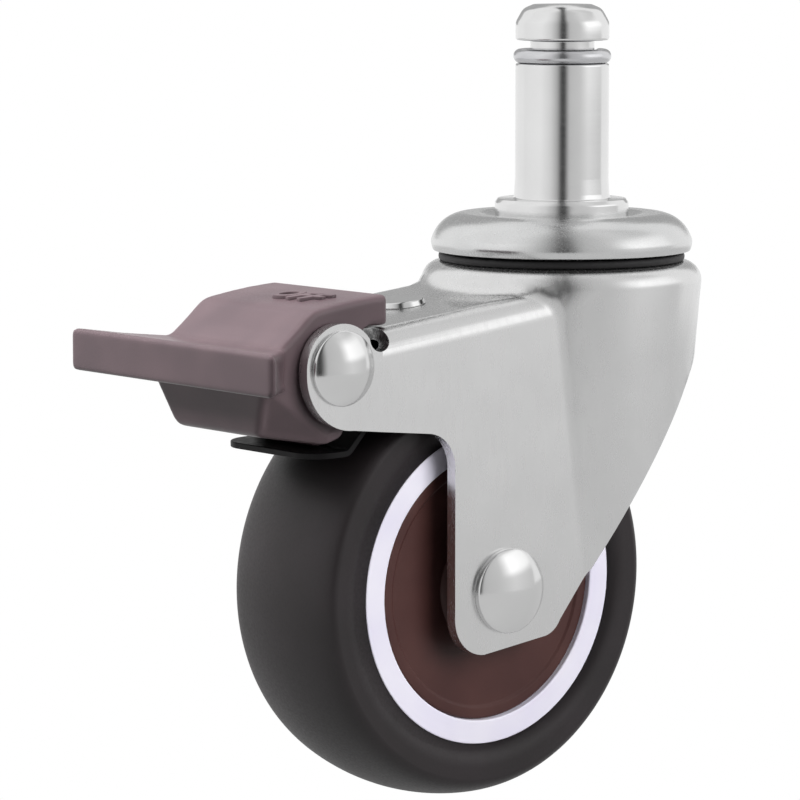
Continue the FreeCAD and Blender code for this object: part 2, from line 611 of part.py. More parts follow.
def main():
    os.makedirs("parts", exist_ok=True)
    save("grip_ring_stem", grip_ring_stem())
    save("grip_ring", grip_ring())
    save("race_cap", race_cap())
    save("lower_race_cup", lower_race_cup())
    save("dust_seal", dust_seal())
    save("upper_race_balls", ring_of_balls(UPPER_BALLS, UPPER_BALL_R, UPPER_PITCH_R, UPPER_BALL_Z))
    save("lower_race_balls", ring_of_balls(LOWER_BALLS, LOWER_BALL_R, LOWER_PITCH_R, LOWER_BALL_Z))
    save("fork", fork())
    axle = headed_pin(AXLE_R, AXLE_HEAD_R, AXLE_HEAD_RIM, AXLE_HEAD_DOME)
    save("axle_rivet", across(axle, AXLE_X, AXLE_Z))
    lever_pin = headed_pin(PIVOT_R, PIVOT_HEAD_R, PIVOT_HEAD_RIM, PIVOT_HEAD_DOME)
    save("lever_pivot_rivet", across(lever_pin, PIVOT_X, PIVOT_Z))
    save("leaf_rivet", leaf_rivet())
    save("tyre", tyre())
    save("wheel_core", wheel_core())
    bore = AXLE_R + FIT_GAP
    inner_face = BEARING_OUT - BEARING_WIDTH
    save("axle_sleeve", axle_tube(-inner_face, inner_face, SPACER_R))
    for name, side in (("near", -1), ("far", 1)):
        save("hub_cover_" + name, hub_cover(side))
        save("bearing_outer_" + name, bearing_ring(side, BEARING_R - BEARING_RING, BEARING_R))
        save("bearing_inner_" + name, bearing_ring(side, bore, bore + BEARING_RING))
        save("bearing_balls_" + name, bearing_balls(side))
        ends = sorted((side * BEARING_OUT, side * FORK_INNER))
        save("axle_spacer_" + name, axle_tube(ends[0], ends[1], SPACER_R))
    save("brake_leaf", brake_leaf())
    save("brake_lever", brake_lever())


main()
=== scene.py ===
import math

import bmesh
import bpy
import numpy as np
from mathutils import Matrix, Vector


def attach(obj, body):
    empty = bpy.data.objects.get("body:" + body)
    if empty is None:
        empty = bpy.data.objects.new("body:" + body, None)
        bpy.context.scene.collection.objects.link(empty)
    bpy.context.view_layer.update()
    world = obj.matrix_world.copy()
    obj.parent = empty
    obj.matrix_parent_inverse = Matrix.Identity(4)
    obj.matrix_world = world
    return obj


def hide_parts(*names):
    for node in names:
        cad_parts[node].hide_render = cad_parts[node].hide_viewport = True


# A castor for an office chair: stem, fork, wheel and foot brake.
# Lengths in this file are in millimetres until a mesh is made; MM turns them to metres.
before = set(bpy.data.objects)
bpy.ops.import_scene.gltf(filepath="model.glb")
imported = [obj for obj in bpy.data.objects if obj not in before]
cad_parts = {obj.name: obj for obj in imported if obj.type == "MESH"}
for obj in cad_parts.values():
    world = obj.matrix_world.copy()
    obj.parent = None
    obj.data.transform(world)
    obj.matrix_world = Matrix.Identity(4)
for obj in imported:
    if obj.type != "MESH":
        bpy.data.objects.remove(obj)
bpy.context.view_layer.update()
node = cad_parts
MM = 0.001

# Stem: an 11 mm pin turned from steel bar, zinc plated, with a neck near its tip for the
# spring ring and a collar at its foot. Its tail is riveted over below the races.

STEM_R = 5.5
NECK_R = 3.76
NECK_BOTTOM, NECK_TOP = 15.8, 18.5
STEM_TIP = 22.7
COLLAR_R, COLLAR_FOOT, COLLAR_EDGE = 7.88, -2.2, 0.35
TAIL_R, PEEN_R, PEEN_TOP, PEEN_END = 4.0, 5.4, -10.9, -12.3
# the stem widens a little at its foot, and its tip is turned to a dome
FOOT_R, FOOT_TOP = 5.68, 2.4
TIP_FLAT_R, TIP_SIDE = 3.4, 20.6


def softened(corners, closed, steps=5):
    """Outline through (a, b, radius) corners, where each radius is an arc tangent to both sides.

    An arc is a quadratic curve between its two tangent points, pulled to the corner: close to a
    true arc for the small edges used here."""
    count = len(corners)
    points = []
    for i, (a, b, radius) in enumerate(corners):
        corner = np.array([a, b], float)
        if radius == 0 or (not closed and i in (0, count - 1)):
            points.append(corner[None])
            continue
        back = np.array(corners[i - 1][:2], float) - corner
        on = np.array(corners[(i + 1) % count][:2], float) - corner
        back_length, on_length = np.linalg.norm(back), np.linalg.norm(on)
        half_turn = math.acos(np.clip(back @ on / back_length / on_length, -1, 1)) / 2
        reach = min(radius / math.tan(half_turn), back_length * 0.48, on_length * 0.48)
        start, end = corner + back / back_length * reach, corner + on / on_length * reach
        t = np.linspace(0, 1, steps)[:, None]
        points.append((1 - t) ** 2 * start + 2 * t * (1 - t) * corner + t ** 2 * end)
    return np.vstack(points)


def piece(name, verts, faces, body, material):
    """Mesh object from arrays in millimetres, welded, with its faces outwards and smooth."""
    mesh = bpy.data.meshes.new(name)
    mesh.from_pydata((np.asarray(verts) * MM).tolist(), [], np.asarray(faces).tolist())
    work = bmesh.new()
    work.from_mesh(mesh)
    bmesh.ops.remove_doubles(work, verts=work.verts, dist=1e-7)
    bmesh.ops.recalc_face_normals(work, faces=work.faces)
    work.to_mesh(mesh)
    work.free()
    mesh.polygons.foreach_set("use_smooth", np.ones(len(mesh.polygons), bool))
    made = bpy.data.objects.new(name, mesh)
    bpy.context.scene.collection.objects.link(made)
    made.data.materials.append(material)
    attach(made, body)
    return made


def turned(name, corners, body, material, closed=False, centre=None, turns=144):
    """Surface of revolution: the outline (radius, height) carried round a full circle.

    Point(u, v) = (r(u) cos v, r(u) sin v, h(u)) about Z, or laid along Y through centre (x, z)."""
    line = softened(corners, closed)
    angle = np.linspace(0, 2 * math.pi, turns, endpoint=False)
    r, h = line[:, :1], np.repeat(line[:, 1:], turns, axis=1)
    across, along = r * np.cos(angle), r * np.sin(angle)
    if centre is None:
        verts = np.stack([across, along, h], axis=-1)
    else:
        verts = np.stack([across + centre[0], h, along + centre[1]], axis=-1)
    rows = len(line) if closed else len(line) - 1
    u, v = np.meshgrid(np.arange(rows), np.arange(turns), indexing="ij")
    u2, v2 = (u + 1) % len(line), (v + 1) % turns
    faces = np.stack([u * turns + v, u * turns + v2, u2 * turns + v2, u2 * turns + v], axis=-1)
    made = piece(name, verts.reshape(-1, 3), faces.reshape(-1, 4), body, material)
    made.modifiers.new("flats stay flat", "WEIGHTED_NORMAL")
    return made


def srgb(code):
    """Linear colour from an sRGB hex value."""
    c = np.array([int(code[i:i + 2], 16) for i in (1, 3, 5)]) / 255
    linear = np.where(c <= 0.04045, c / 12.92, ((c + 0.055) / 1.055) ** 2.4)
    return (*linear.tolist(), 1.0)


def add(tree, kind, inputs=None, **settings):
    """One shader node with its settings. An input is a value, or another node's socket."""
    made = tree.nodes.new(kind)
    for key, value in settings.items():
        setattr(made, key, value)
    for key, value in (inputs or {}).items():
        if isinstance(value, bpy.types.NodeSocket):
            tree.links.new(value, made.inputs[key])
        else:
            made.inputs[key].default_value = value
    return made


def finish(name, metallic=0.0):
    """New material: its tree, its Principled shader and its Object coordinates."""
    made = bpy.data.materials.new(name)
    made.use_nodes = True
    tree = made.node_tree
    shader = tree.nodes["Principled BSDF"]
    shader.inputs["Metallic"].default_value = metallic
    place = add(tree, "ShaderNodeTexCoord").outputs["Object"]
    return made, tree, shader, place


# width of the soft clouds of tone on plated steel
METAL_CLOUD = 6.0


def metal(name, colour, dark, roughness, grain, stretch, depth):
    """Plated steel: streaks of grain millimetres, drawn out by stretch (x, y, z), vary its colour
    a little, its polish, and its surface by depth millimetres."""
    made, tree, shader, place = finish(name, metallic=1.0)
    laid = add(tree, "ShaderNodeMapping", {"Vector": place, "Scale": tuple(1 / s for s in stretch)})
    streak = add(tree, "ShaderNodeTexNoise", {"Vector": laid.outputs[0], "Scale": 1 / (grain * MM),
                                              "Detail": 3.0, "Roughness": 0.6})
    cloud = add(tree, "ShaderNodeTexNoise",
                {"Vector": place, "Scale": 1 / (METAL_CLOUD * MM), "Detail": 2.0})
    tone = add(tree, "ShaderNodeMix", {0: cloud.outputs["Fac"], 6: srgb(dark), 7: srgb(colour)},
               data_type="RGBA")
    tree.links.new(tone.outputs[2], shader.inputs["Base Color"])
    polish = add(tree, "ShaderNodeMapRange",
                 {"Value": streak.outputs["Fac"], "From Min": 0.3, "From Max": 0.7,
                  "To Min": roughness * 0.85, "To Max": roughness * 1.2})
    tree.links.new(polish.outputs[0], shader.inputs["Roughness"])
    bump = add(tree, "ShaderNodeBump", {"Height": streak.outputs["Fac"], "Strength": 0.5,
                                        "Distance": depth * MM})
    tree.links.new(bump.outputs[0], shader.inputs["Normal"])
    return made


# bright zinc over turned steel: fine rings left by the tool run round the stem
stem_zinc = metal("bright_zinc_turned_steel", "#E6E6E6", "#DADADA", 0.16, 0.25, (30, 30, 1), 0.004)

stem = turned("stem", [
    (0, PEEN_END, 0), (PEEN_R * 0.75, PEEN_END, 0.8), (PEEN_R, PEEN_TOP, 0.15),
    (TAIL_R, PEEN_TOP, 0), (TAIL_R, COLLAR_FOOT, 0), (COLLAR_R, COLLAR_FOOT, 0.15),
    (COLLAR_R, -0.5, 0.45), (COLLAR_R - COLLAR_EDGE, 0, 0.2), (FOOT_R, 0, 0.2),
    (FOOT_R - 0.08, 0.6, 0.5), (STEM_R, FOOT_TOP, 1.5), (STEM_R, NECK_BOTTOM, 0.3),
    (NECK_R, NECK_BOTTOM, 0.2), (NECK_R, NECK_TOP, 0.2), (STEM_R, NECK_TOP, 0.35),
    (STEM_R, TIP_SIDE, 1.6), (4.6, 22.2, 1.4), (TIP_FLAT_R, STEM_TIP, 0.8), (0, STEM_TIP, 0)],
    "stem_body", stem_zinc)
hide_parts("grip_ring_stem")

# Grip ring: spring wire bent round the neck, split at one side. It squeezes into the neck as the
# stem goes into its socket.

WIRE_R, RING_R, RING_GAP = 0.85, 4.9, 1.6
# share of the wire's length over which each cut end is rounded
END_SHARE = 0.018
STEPS_ALONG, STEPS_ROUND = 120, 20

# drawn wire, a little greyer than the plated stem
ring_steel = metal("drawn_spring_wire", "#D8D8DA", "#C2C2C5", 0.22, 0.3, (1, 1, 6), 0.003)

u = np.linspace(0, 1, STEPS_ALONG + 1)
half_gap = math.asin(RING_GAP / 2 / RING_R)
sweep = half_gap + u * (2 * math.pi - 2 * half_gap)
# the wire's radius falls to nothing as a quarter circle, which rounds both cut ends
to_end = np.clip(1 - np.minimum(u, 1 - u) / END_SHARE, 0, 1)
taper = np.sqrt(np.clip(1 - to_end ** 2, 0, 1)) * WIRE_R
v = np.linspace(0, 2 * math.pi, STEPS_ROUND, endpoint=False)
out = RING_R + taper[:, None] * np.cos(v)
wire = np.stack([out * np.cos(sweep)[:, None], out * np.sin(sweep)[:, None],
                 NECK_BOTTOM + WIRE_R + taper[:, None] * np.sin(v)], axis=-1)
i, j = np.meshgrid(np.arange(STEPS_ALONG), np.arange(STEPS_ROUND), indexing="ij")
here, ahead, side = i * STEPS_ROUND, (i + 1) * STEPS_ROUND, (j + 1) % STEPS_ROUND
loops = np.stack([here + j, here + side, ahead + side, ahead + j], axis=-1)
grip_ring = piece("spring_ring", wire.reshape(-1, 3), loops.reshape(-1, 4),
                  "stem_body", ring_steel)
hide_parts("grip_ring")

# Cap and lower cup: pressed from steel sheet and zinc plated. The cap's crown bears on the upper
# balls and its skirt shields them. The lower cup holds the lower balls up against the fork.

CAP_SHEET = 1.1
CAP_BORE_R = TAIL_R + 0.05
CROWN_R, CROWN_Z = 10.3, -1.7
LIP_R, LIP_Z = 15.15, -6.1
# corners of the round skirt: radius, height and rounding, outside going down and inside going up
SKIRT_OUTSIDE = [(12.13, -1.68, 3.5), (13.66, -2.32, 4.2), (14.83, -3.49, 4.2),
                 (15.47, -5.02, 4.2)]
SKIRT_INSIDE = [(14.37, -5.24, 3), (13.9, -4.11, 3), (13.04, -3.25, 3)]

# pressed sheet keeps a smoother skin than turned bar
cap_zinc = metal("bright_zinc_pressed_steel", "#DCDCDC", "#CDCECE", 0.24, 0.3, (1, 1, 1), 0.003)

cap = turned("cap", [
    (CAP_BORE_R, COLLAR_FOOT - CAP_SHEET, 0), (CAP_BORE_R, COLLAR_FOOT, 0),
    (COLLAR_R + 0.2, COLLAR_FOOT, 0.5), (CROWN_R - 0.6, CROWN_Z, 0.8)] + SKIRT_OUTSIDE + [
    (LIP_R, LIP_Z, 0.25), (LIP_R - CAP_SHEET, LIP_Z, 0.25)] + SKIRT_INSIDE + [
    (CROWN_R + 0.8, CROWN_Z - CAP_SHEET, 0.5), (CROWN_R - 0.9, CROWN_Z - CAP_SHEET, 0.3),
    (COLLAR_R - 0.4, COLLAR_FOOT - CAP_SHEET, 0.3)],
    "stem_body", cap_zinc, closed=True)
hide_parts("race_cap")


def dress(names, material):
    """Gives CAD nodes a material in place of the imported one, in their own slots."""
    for name in names:
        for place in node[name].material_slots:
            place.material = material


dress(["lower_race_cup"], cap_zinc)

# hardened and polished: the smoothest metal here
ball_steel = metal("polished_ball_steel", "#E4E4E6", "#DDDDE0", 0.08, 0.4, (1, 1, 1), 0.0005)
dress(["upper_race_balls", "lower_race_balls", "bearing_balls_near", "bearing_balls_far"],
      ball_steel)

# Dust seal: a moulded ring that sits on the fork's shelf and closes the gap below the cap.

SEAL_R, SEAL_WALL, SEAL_BOTTOM, SEAL_HEIGHT = 14.5, 1.6, -7.3, 1.0
SEAL_IN, SEAL_TOP = SEAL_R - SEAL_WALL, SEAL_BOTTOM + SEAL_HEIGHT

seal_nylon, tree, shader, place = finish("black_moulded_nylon")
# black nylon with a dull skin: only its edge shows, as a dark line
shader.inputs["Base Color"].default_value = srgb("#161516")
skin = add(tree, "ShaderNodeTexNoise", {"Vector": place, "Scale": 1 / (0.4 * MM), "Detail": 3.0})
rough = add(tree, "ShaderNodeMapRange",
            {"Value": skin.outputs["Fac"], "To Min": 0.45, "To Max": 0.7})
tree.links.new(rough.outputs[0], shader.inputs["Roughness"])

seal = turned("dust_seal_ring", [
    (SEAL_IN, SEAL_BOTTOM, 0.1), (SEAL_R, SEAL_BOTTOM, 0.48),
    (SEAL_R, SEAL_TOP, 0.48), (SEAL_IN, SEAL_TOP, 0.1)],
    "fork_body", seal_nylon, closed=True)
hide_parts("dust_seal")

# Fork: one sheet of 1.4 mm steel pressed over a former into a round head, a sloping arm, two legs
# and two ears, then zinc plated. Its sheared edges are tumbled, so they are slightly round.

EDGE_ROUND = 0.22
# an edge that turns more than CUT_EDGE was sheared; one under SOFT_BEND is shaded as a smooth bend
CUT_EDGE, SOFT_BEND = math.radians(60), math.radians(40)

# satin zinc: the pressing and tumbling leave a fine upright grain on the legs
fork_zinc = metal("satin_zinc_pressed_steel", "#DEDEDE", "#D4D4D4", 0.25, 0.8, (1, 1, 5), 0.0003)


def trimmed(name, source, body, material, rounding):
    """Copy of a CAD node, welded, its flat facets joined, with its sheared edges rounded."""
    mesh = node[source].data.copy()
    mesh.name = name
    mesh.materials.clear()
    mesh.materials.append(material)
    work = bmesh.new()
    work.from_mesh(mesh)
    bmesh.ops.remove_doubles(work, verts=work.verts, dist=2e-6)
    bmesh.ops.dissolve_limit(work, angle_limit=math.radians(0.05),
                             verts=work.verts, edges=work.edges)
    work.to_mesh(mesh)
    work.free()
    mesh.polygons.foreach_set("use_smooth", np.ones(len(mesh.polygons), bool))
    mesh.set_sharp_from_angle(angle=SOFT_BEND)
    made = bpy.data.objects.new(name, mesh)
    bpy.context.scene.collection.objects.link(made)
    edge = made.modifiers.new("tumbled edges", "BEVEL")
    edge.width, edge.segments = rounding * MM, 3
    edge.limit_method, edge.angle_limit = "ANGLE", CUT_EDGE
    edge.miter_outer, edge.harden_normals = "MITER_ARC", True
    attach(made, body)
    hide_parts(source)


trimmed("fork_sheet", "fork", "fork_body", fork_zinc, EDGE_ROUND)

# Rivets: the axle and the pedal's pin are cold headed at both ends, with low domes. The leaf's
# rivet has a flat head on top of the arm.

LEG_FACE = 12.0
AXLE = (-18.6, -43.3)
PIVOT = (-42.6, -16.2)

# headed pins: bright zinc over a slightly hammered dome
rivet_zinc = metal("bright_zinc_headed_pin", "#E2E2E2", "#D5D5D5", 0.14, 0.9, (1, 1, 1), 0.004)


def mirrored_y(corners):
    """The same corners on the near side, -Y."""
    return [(r, -y, rounding) for r, y, rounding in corners]


def headed_pin(name, source, centre, radius, head_r, rim, dome):
    """Pin along Y with a rim and a low dome at each end, seated on the fork's outer faces.

    The dome is part of a sphere: height above the rim = sqrt(S^2 - r^2) - (S - dome)."""
    sphere = (head_r ** 2 + dome ** 2) / (2 * dome)
    r = np.linspace(0, head_r, 14)
    height = LEG_FACE + rim + np.sqrt(sphere ** 2 - r ** 2) - (sphere - dome)
    far = [(a, b, 0) for a, b in zip(r[:-1], height[:-1])]
    side = [(head_r, LEG_FACE + rim, 0.35), (head_r, LEG_FACE, 0.1), (radius, LEG_FACE, 0)]
    made = turned(name, far + side + mirrored_y((far + side)[::-1]),
                  "fork_body", rivet_zinc, centre=centre, turns=96)
    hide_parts(source)


headed_pin("axle", "axle_rivet", AXLE, 2.9, 4.88, 0.7, 1.5)
headed_pin("pedal_pin", "lever_pivot_rivet", PIVOT, 2.0, 4.2, 0.45, 1.45)
trimmed("leaf_rivet_head", "leaf_rivet", "fork_body", rivet_zinc, 0.15)

# Hub bearings, sleeve and spacers: two small ball bearings held apart by a sleeve, and off the
# fork's legs by spacers. They hide behind the hub covers.

bearing_steel = metal("ground_bearing_steel", "#D6D7D9", "#C6C7CA", 0.2, 0.3, (6, 1, 6), 0.002)
dress(["bearing_inner_near", "bearing_inner_far", "bearing_outer_near", "bearing_outer_far"],
      bearing_steel)
dress(["axle_sleeve", "axle_spacer_near", "axle_spacer_far"], rivet_zinc)

# Tread: soft polyurethane moulded onto the core, with a crowned face and rounded shoulders.

TREAD_SEAT_R, TREAD_R, TREAD_HALF = 18.14, 25.0, 9.0
KEY_R, KEY_HALF = 16.9, 3.0
# the crown falls by CROWN_FALL over its half width, then bends round to the tread's side
CROWN_HALF, CROWN_FALL = 5.6, 0.65
BEND_PULL_R, BEND_END_R = 23.56, 22.2
SIDE_R, SIDE_HALF, SEAT_HALF = 21.0, 8.9, 8.75

# width of the soft clouds of tone on moulded plastic
PLASTIC_CLOUD = 9.0


def moulded(name, colour, shade, roughness, grain, depth, specular=0.5):
    """Moulded plastic: a fine grain of that many millimetres, and soft clouds of a darker shade."""
    made, tree, shader, place = finish(name)
    cloud = add(tree, "ShaderNodeTexNoise",
                {"Vector": place, "Scale": 1 / (PLASTIC_CLOUD * MM), "Detail": 2.0})
    spread = add(tree, "ShaderNodeMapRange",
                 {"Value": cloud.outputs["Fac"], "From Min": 0.35, "From Max": 0.65})
    tone = add(tree, "ShaderNodeMix", {0: spread.outputs[0], 6: srgb(shade), 7: srgb(colour)},
               data_type="RGBA")
    tree.links.new(tone.outputs[2], shader.inputs["Base Color"])
    fine = add(tree, "ShaderNodeTexNoise",
               {"Vector": place, "Scale": 1 / (grain * MM), "Detail": 2.0})
    polish = add(tree, "ShaderNodeMapRange",
                 {"Value": fine.outputs["Fac"], "From Min": 0.3, "From Max": 0.7,
                  "To Min": roughness * 0.9, "To Max": roughness * 1.12})
    tree.links.new(polish.outputs[0], shader.inputs["Roughness"])
    bump = add(tree, "ShaderNodeBump", {"Height": fine.outputs["Fac"], "Strength": 0.6,
                                        "Distance": depth * MM})
    tree.links.new(bump.outputs[0], shader.inputs["Normal"])
    shader.inputs["Specular IOR Level"].default_value = specular
    return made


# soft grey-brown polyurethane: a dull rubbery skin with a broad, weak sheen
tread_pu = moulded("soft_polyurethane_tread", "#241F21", "#1E1A1B", 0.46, 0.3, 0.01, 0.4)

# one half of the tread's face: a parabola over the crown, then a quadratic curve round to the side,
# pulled to a point on the side where both run on without a step
crown_y = np.linspace(0, CROWN_HALF, 14)
crown_r = TREAD_R - CROWN_FALL * (crown_y / CROWN_HALF) ** 2
t = np.linspace(0, 1, 14)[1:, None]
bend = (1 - t) ** 2 * [TREAD_R - CROWN_FALL, CROWN_HALF]
bend = bend + 2 * t * (1 - t) * [BEND_PULL_R, TREAD_HALF] + t ** 2 * [BEND_END_R, TREAD_HALF]
face = [(r, y, 0) for r, y in np.vstack([np.column_stack([crown_r, crown_y]), bend])]
flank = [(SIDE_R, SIDE_HALF, 0), (TREAD_SEAT_R, SEAT_HALF, 0)]
key = [(TREAD_SEAT_R, KEY_HALF, 0), (KEY_R, KEY_HALF, 0)]
tread = turned("tread",
               mirrored_y(flank)[::-1] + mirrored_y(face[:0:-1]) + face + flank + key
               + mirrored_y(key)[::-1],
               "wheel_body", tread_pu, closed=True, centre=AXLE, turns=256)
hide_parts("tyre")

# Wheel core: moulded in pale plastic with a bare ring at each side, a thin web and a hub with a
# seat for each bearing.

RING_IN, RING_FACE, COVER_SEAT = 15.41, 8.85, 7.1
BEARING_SEAT, BEARING_STOP, HUB_BORE_R = 8.0, 2.6, 6.8
WEB_HALF, HUB_R, RIM_IN = 1.6, 9.8, 14.41

# pale moulded plastic with a bluish cast, satin from the mould
core_pp = moulded("pale_moulded_polypropylene", "#F6F3FF", "#EEEAFB", 0.34, 0.5, 0.004)

# outer and inner corners of its far half, from the ring's face to the middle of the wheel
outer = [(RING_IN, RING_FACE, 0.25), (TREAD_SEAT_R, RING_FACE, 0.15)] + key
inner = [(RING_IN, COVER_SEAT, 0), (RIM_IN, COVER_SEAT, 0), (RIM_IN, WEB_HALF, 0.3),
         (HUB_R, WEB_HALF, 0.3), (HUB_R, COVER_SEAT, 0.2), (BEARING_SEAT, COVER_SEAT, 0),
         (BEARING_SEAT, BEARING_STOP, 0), (HUB_BORE_R, BEARING_STOP, 0)]

core = turned("core", mirrored_y(outer) + outer[::-1] + inner + mirrored_y(inner)[::-1],
              "wheel_body", core_pp, closed=True, centre=AXLE, turns=192)
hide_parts("wheel_core")

# Hub covers: thin moulded discs that snap into the core's ring at each side. Each has a rolled
# edge and a raised boss round its hole. The face is left bare.

COVER_FACE, COVER_HOLE, COVER_BOSS = 8.4, 5.3, 6.2
DISH, BOSS_RISE = 0.25, 0.3

# dark brown plastic with a fine matt grain
cover_pp = moulded("brown_moulded_polypropylene", "#4A2E2B", "#402624", 0.44, 0.25, 0.008, 0.3)

for side, cover_name in ((-1, "hub_cover_near"), (1, "hub_cover_far")):
    edge, dish, boss = RING_IN - 0.05, COVER_FACE - DISH, COVER_FACE + BOSS_RISE
    cover = turned("cover_" + cover_name[10:], [
        (COVER_HOLE, side * COVER_SEAT, 0.1), (edge, side * COVER_SEAT, 0.1),
        (edge, side * COVER_FACE, 0.45), (edge - 1.3, side * COVER_FACE, 0.2),
        (edge - 1.6, side * dish, 0.2), (COVER_BOSS + 0.6, side * dish, 0.2),
        (COVER_BOSS, side * boss, 0.2), (COVER_HOLE, side * boss, 0.15)],
        "wheel_body", cover_pp, closed=True, centre=AXLE, turns=192)
    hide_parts(cover_name)

# Brake leaf: a strip of spring steel, bent, blackened and riveted under the arm. Its toe shows
# below the pedal.

# black oxide: near black, with a low oily sheen
leaf_black, tree, shader, place = finish("black_oxide_spring_steel")
shader.inputs["Base Color"].default_value = srgb("#111011")
shader.inputs["Specular IOR Level"].default_value = 0.15
smut = add(tree, "ShaderNodeTexNoise", {"Vector": place, "Scale": 1 / (0.8 * MM), "Detail": 4.0})
rough = add(tree, "ShaderNodeMapRange",
            {"Value": smut.outputs["Fac"], "To Min": 0.3, "To Max": 0.55})
tree.links.new(rough.outputs[0], shader.inputs["Roughness"])

trimmed("leaf", "brake_leaf", "leaf_body", leaf_black, 0.12)

# Pedal: one nylon moulding with a hood between the ears, a wide paddle for the foot, a lower
# block and a cam nose that pushes the leaf. Every edge is well rounded, and raised letters stand
# on the hood.

PEDAL_HALF, PADDLE_HALF = 10.35, 18.6
PEDAL_EDGE = 0.7
NOSE = (-40.133, -24.529)
NOSE_R, NOSE_HALF = 1.2, 4.8
PIN_BORE_R = 2.08
# the block draws in by BLOCK_DRAW, over its depth below BLOCK_TOP and its length before BLOCK_REAR
BLOCK_TOP, BLOCK_DEPTH, BLOCK_REAR, BLOCK_LENGTH, BLOCK_DRAW = -18.2, 5.8, -43.0, 7.0, 2.9
FAN_REAR, FAN_LENGTH = -49.2, 7.9


def slab(outline, half_at, edge, rings=5):
    """Closed slab: an XZ outline spread along Y to half_at(x, z) each side, its rims rounded.

    Towards a rim the outline shrinks along its own normals by edge (1 - cos a) while Y grows by
    edge sin a, with a from 0 to a quarter turn; both ends are closed by a flat face."""
    on = np.roll(outline, -1, axis=0) - np.roll(outline, 1, axis=0)
    normal = np.stack([on[:, 1], -on[:, 0]], axis=1) / np.linalg.norm(on, axis=1)[:, None]
    x, z = outline[:, 0], outline[:, 1]
    if 0.5 * np.sum(x * np.roll(z, -1) - np.roll(x, -1) * z) < 0:
        normal = -normal
    a = np.linspace(0, math.pi / 2, rings)
    layers = []
    for sign in (-1, 1):
        order = a[::-1] if sign < 0 else a
        for turn in order:
            inset = outline - normal * edge * (1 - math.cos(turn))
            y = sign * (half_at(outline[:, 0], outline[:, 1]) - edge * (1 - math.sin(turn)))
            layers.append(np.stack([inset[:, 0], y, inset[:, 1]], axis=1))
    verts = np.vstack(layers)
    n = len(outline)
    row, col = np.meshgrid(np.arange(len(layers) - 1), np.arange(n), indexing="ij")
    nxt = (col + 1) % n
    here, ahead = row * n, (row + 1) * n
    sides = np.stack([here + col, here + nxt, ahead + nxt, ahead + col], axis=-1)
    ends = [list(range(n))[::-1], list(range(len(verts) - n, len(verts)))]
    return verts, sides.reshape(-1, 4).tolist() + ends


hood = softened([
    (-34.7, -12.1, 0.3), (-34.7, -8.6, 0.6), (-38.6, -8.9, 6), (-41.4, -9.25, 8),
    (-45.2, -9.85, 3.5), (-48.0, -12.25, 3.0), (-50.0, -13.8, 2.5), (-53.5, -13.85, 1),
    (-53.5, -17.0, 1), (-52.0, -18.4, 0.5), (-51.0, -23.6, 1.3), (-43.4, -24.85, 1.6),
    (-41.2, -24.2, 1.2), (-38.9, -20.0, 0.6), (-38.9, -14.6, 0.6), (-38.3, -12.1, 0.4)],
    closed=True, steps=7)
paddle = softened([
    (-57.45, -17.9, 0.5), (-57.45, -13.1, 0.6), (-53.6, -13.6, 5), (-49.0, -13.9, 0.5),
    (-49.0, -18.5, 0.5), (-53.6, -18.1, 5)], closed=True, steps=7)
web = softened([
    (NOSE[0] - NOSE_R, NOSE[1], 0), (NOSE[0] - NOSE_R * 0.9, NOSE[1] - NOSE_R, 1.0),
    (NOSE[0] + NOSE_R * 0.9, NOSE[1] - NOSE_R, 1.0), (NOSE[0] + NOSE_R, NOSE[1], 0),
    (-39.5, -21.0, 0), (-43.0, -21.0, 0)], closed=True, steps=7)


def body_half(x, z):
    """The block is drawn in below the paddle, most at its lower front corners."""
    down = np.clip((BLOCK_TOP - z) / BLOCK_DEPTH, 0, 1)
    forward = np.clip((BLOCK_REAR - x) / BLOCK_LENGTH, 0, 1)
    return PEDAL_HALF - BLOCK_DRAW * down * forward


def fan_half(x, z):
    """The paddle fans out from the body's width to its front edge."""
    forward = np.clip((FAN_REAR - x) / FAN_LENGTH, 0, 1)
    return PEDAL_HALF + (PADDLE_HALF - PEDAL_HALF) * forward


verts, faces = [], []
for outline, half_at, edge in ((hood, body_half, PEDAL_EDGE), (paddle, fan_half, 0.6),
                               (web, lambda x, z: NOSE_HALF + 0 * x, 0.4)):
    more, rims = slab(outline, half_at, edge)
    faces += [[k + sum(len(v) for v in verts) for k in rim] for rim in rims]
    verts.append(more)

# grey-brown nylon: an even moulded grain, satin
pedal_nylon = moulded("grey_brown_moulded_nylon", "#5C4D51", "#524549", 0.33, 0.22, 0.012, 0.35)

mesh = bpy.data.meshes.new("pedal")
mesh.from_pydata((np.vstack(verts) * MM).tolist(), [], faces)
work = bmesh.new()
work.from_mesh(mesh)
bmesh.ops.recalc_face_normals(work, faces=work.faces)
bmesh.ops.triangulate(work, faces=[f for f in work.faces if len(f.verts) > 4])
work.to_mesh(mesh)
work.free()
pedal = bpy.data.objects.new("pedal", mesh)
bpy.context.scene.collection.objects.link(pedal)
bore = turned("bore", [(0, -13, 0), (PIN_BORE_R, -13, 0), (PIN_BORE_R, 13, 0), (0, 13, 0)],
              "lever_body", pedal_nylon, centre=PIVOT, turns=64)
join = pedal.modifiers.new("one moulding", "REMESH")
join.mode, join.voxel_size = "VOXEL", 0.22 * MM
drill = pedal.modifiers.new("pin bore", "BOOLEAN")
drill.operation, drill.object = "DIFFERENCE", bore
soft = pedal.modifiers.new("soft corners", "SMOOTH")
soft.factor, soft.iterations = 0.5, 8
bpy.context.view_layer.update()
graph = bpy.context.evaluated_depsgraph_get()
solid = bpy.data.meshes.new_from_object(pedal.evaluated_get(graph))
pedal.modifiers.clear()
pedal.data = solid
bpy.data.objects.remove(bore)
solid.polygons.foreach_set("use_smooth", np.ones(len(solid.polygons), bool))
solid.materials.clear()
solid.materials.append(pedal_nylon)
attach(pedal, "lever_body")
